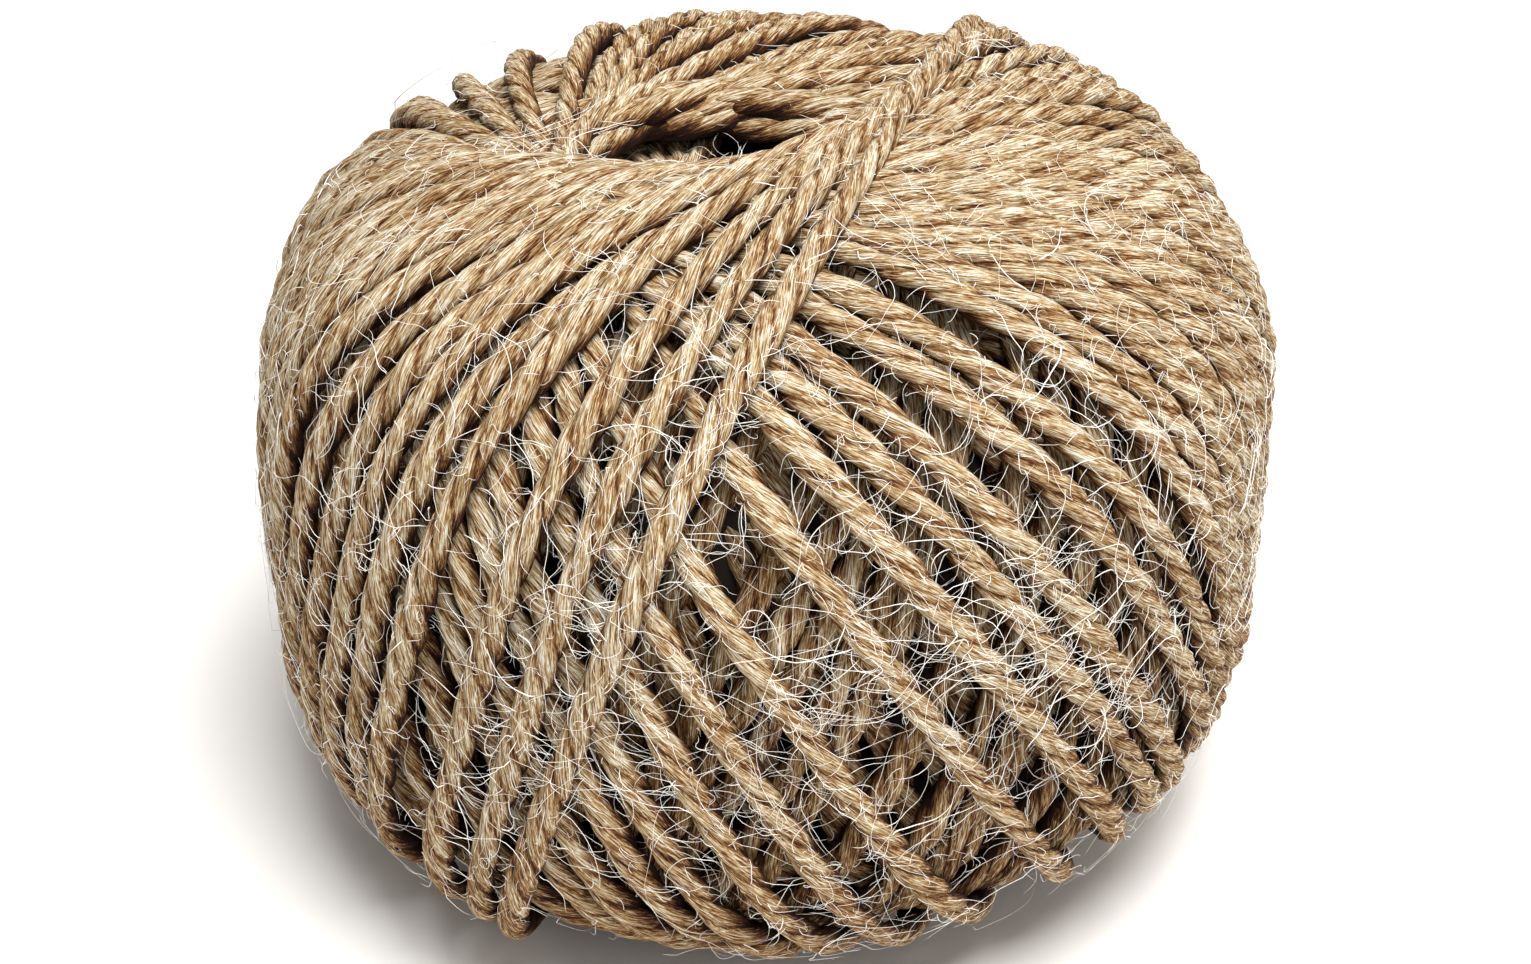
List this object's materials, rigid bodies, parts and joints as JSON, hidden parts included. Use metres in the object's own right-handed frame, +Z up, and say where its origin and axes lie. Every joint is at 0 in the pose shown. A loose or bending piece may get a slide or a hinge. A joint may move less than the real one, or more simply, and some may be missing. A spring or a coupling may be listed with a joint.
{
  "type": "ball of jute twine",
  "caption": "Barrel-shaped ball of natural jute twine wound in tilted loops, with a leaning hole down its middle and a flat base to rest on.",
  "frame": {"origin": "centre of the bounding box at the base the ball rests on", "axes": "+Z up along the hole, -Y to the front of the picture, +X to its right"},
  "size_m": [0.09, 0.0884, 0.0701],
  "materials": {
    "jute_twine": "matte twisted jute fibre, hairy"
  },
  "bodies": {
    "root": {"twine_ball": "jute_twine"}
  },
  "joints": []
}
